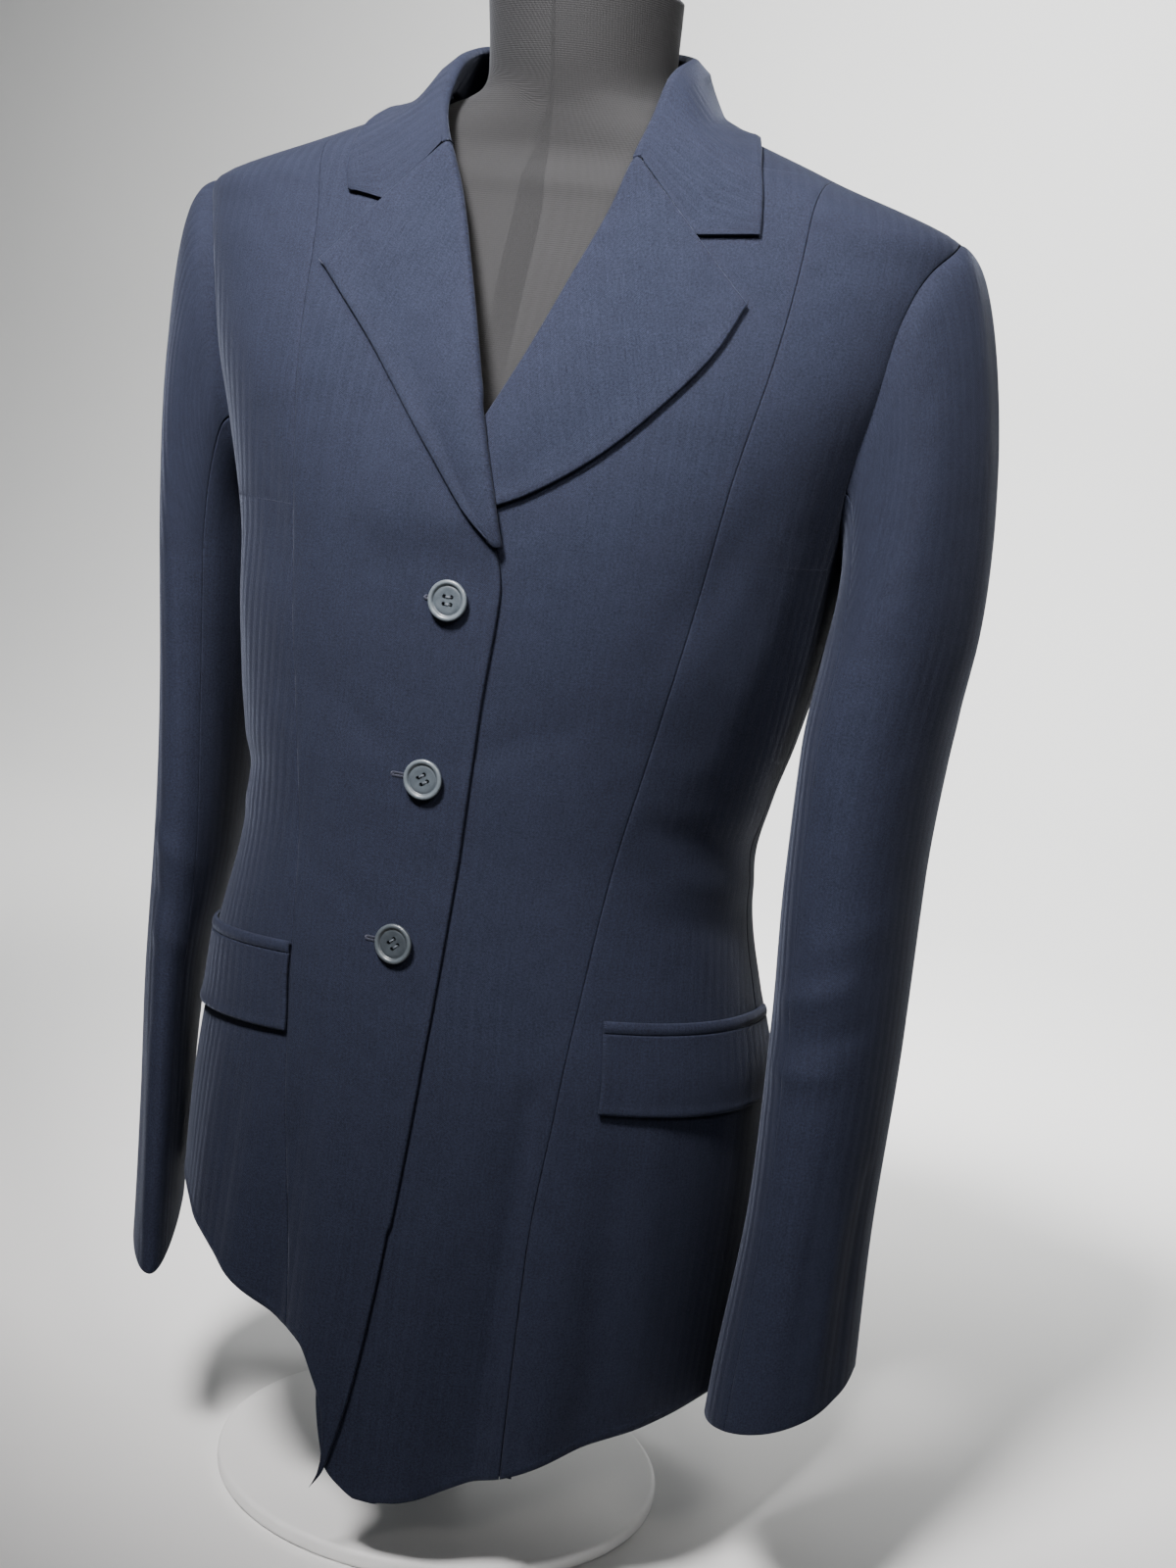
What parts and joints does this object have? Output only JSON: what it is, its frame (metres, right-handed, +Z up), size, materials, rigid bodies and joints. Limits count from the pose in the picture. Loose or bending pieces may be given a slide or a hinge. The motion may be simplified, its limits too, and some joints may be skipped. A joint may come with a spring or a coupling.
{
  "type": "hunt coat on a dress form",
  "caption": "Fitted hunt coat with notched lapels, flap pockets and a curved cutaway front, on a limbless dress form.",
  "frame": {"origin": "on the floor under the middle of the stand's base", "axes": "+Z up, the coat's front faces -Y, +X is the wearer's left"},
  "size_m": [0.4813, 0.2921, 0.873],
  "materials": {
    "navy_wool": "matt twill with a tone-on-tone herringbone stripe",
    "slate_horn": "satin",
    "black_jersey": "matt jersey",
    "pale_metal": "satin"
  },
  "bodies": {
    "root": {"front_right": "navy_wool", "front_left": "navy_wool", "side_front_right": "navy_wool", "side_front_left": "navy_wool", "back_right": "navy_wool", "back_left": "navy_wool", "lapel_right": "navy_wool", "lapel_left": "navy_wool", "collar": "navy_wool", "sleeve_upper_right": "navy_wool", "sleeve_upper_left": "navy_wool", "sleeve_under_right": "navy_wool", "sleeve_under_left": "navy_wool", "pocket_flap_right": "navy_wool", "pocket_flap_left": "navy_wool", "pocket_welt_right": "navy_wool", "pocket_welt_left": "navy_wool", "button_top": "slate_horn", "button_middle": "slate_horn", "button_bottom": "slate_horn", "form_torso": "black_jersey", "form_neck_cap": "black_jersey", "form_post": "pale_metal", "form_base": "pale_metal"}
  },
  "joints": []
}
